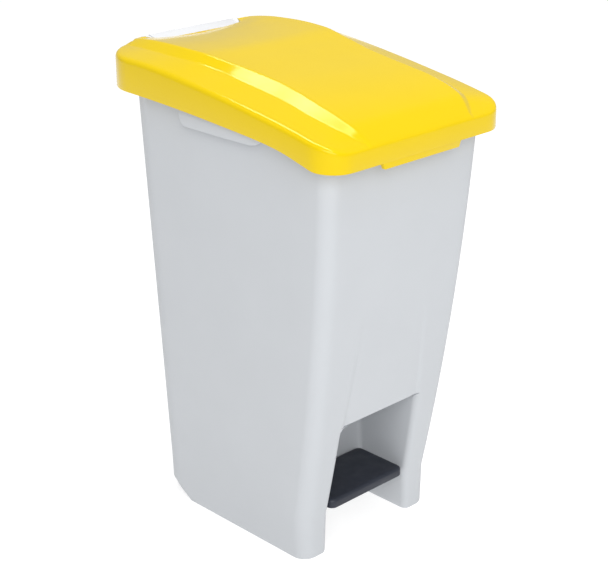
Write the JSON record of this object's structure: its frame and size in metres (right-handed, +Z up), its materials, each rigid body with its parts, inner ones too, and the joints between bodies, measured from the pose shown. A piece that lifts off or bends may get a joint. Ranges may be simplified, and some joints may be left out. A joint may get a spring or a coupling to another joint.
{
  "type": "pedal bin",
  "caption": "Tall tapered pedal bin with a hooded hinged lid, two front legs framing a foot pedal, a rear handle and rear wheels.",
  "frame": {"origin": "on the floor, under the middle of the closed bin's box", "axes": "+Z up, -Y towards the front with the pedal, +X to the right seen from the front"},
  "size_m": [0.4, 0.536, 0.8149],
  "materials": {
    "lid_yellow": "semi-gloss moulded polypropylene, yellow",
    "body_white": "fine-grained moulded polypropylene, light grey-white",
    "handle_white": "smooth moulded polypropylene, white",
    "pedal_dark": "dark blue-grey ribbed polypropylene",
    "steel": "zinc-plated steel",
    "nylon": "natural nylon",
    "buffer_rubber": "black rubber",
    "tyre_rubber": "black rubber tread",
    "hub_grey": "grey polypropylene"
  },
  "bodies": {
    "bin": {"body_shell": "body_white", "rear_handle": "handle_white", "handle_screw_left_1": "steel", "handle_screw_left_2": "steel", "handle_screw_right_1": "steel", "handle_screw_right_2": "steel", "hinge_pin_left": "steel", "hinge_pin_right": "steel", "rod_guide_upper": "nylon", "rod_guide_lower": "nylon", "guide_screw_upper_left": "steel", "guide_screw_upper_right": "steel", "guide_screw_lower_left": "steel", "guide_screw_lower_right": "steel", "pedal_axle": "steel", "pedal_bush_left": "nylon", "pedal_bush_right": "nylon", "axle_clip_left": "steel", "axle_clip_right": "steel", "wheel_axle_left": "steel", "wheel_axle_right": "steel", "side_grip_left": "body_white", "side_grip_right": "body_white"},
    "lid": {"lid_shell": "lid_yellow", "lid_buffer_left": "buffer_rubber", "lid_buffer_right": "buffer_rubber", "hinge_block_left": "handle_white", "hinge_block_right": "handle_white", "lid_crank": "steel", "crank_pin": "steel", "crank_screw_left": "steel", "crank_screw_right": "steel"},
    "lift_rod": {"lift_rod": "steel", "rod_head": "nylon", "rod_foot": "nylon"},
    "pedal": {"pedal_lever": "steel", "pedal_tread": "pedal_dark", "tread_screw_1": "steel", "tread_screw_2": "steel"},
    "left_wheel": {"wheel_hub_left": "hub_grey", "wheel_tyre_left": "tyre_rubber"},
    "right_wheel": {"wheel_hub_right": "hub_grey", "wheel_tyre_right": "tyre_rubber"}
  },
  "joints": [
    {"name": "lid_hinge", "type": "hinge", "parent": "bin", "child": "lid", "pos_m": [0, 0.255, 0.793], "axis": [-1, 0, 0], "range_deg": [0, 70]},
    {"name": "rod_slide", "type": "slide", "parent": "bin", "child": "lift_rod", "axis": [0, 0, 1], "range_m": [0, 0.0391]},
    {"name": "pedal_hinge", "type": "hinge", "parent": "bin", "child": "pedal", "pos_m": [0, 0.063, 0.045], "axis": [1, 0, 0], "range_deg": [0, 13.8]},
    {"name": "left_wheel_spin", "type": "hinge", "parent": "bin", "child": "left_wheel", "pos_m": [-0.115, 0.15, 0.033], "axis": [1, 0, 0], "continuous": true},
    {"name": "right_wheel_spin", "type": "hinge", "parent": "bin", "child": "right_wheel", "pos_m": [0.115, 0.15, 0.033], "axis": [1, 0, 0], "continuous": true}
  ],
  "couplings": [
    {"joint": "rod_slide", "follows": "lid_hinge", "m_per_rad": 0.03192},
    {"joint": "pedal_hinge", "follows": "lid_hinge", "ratio": 0.1966}
  ]
}
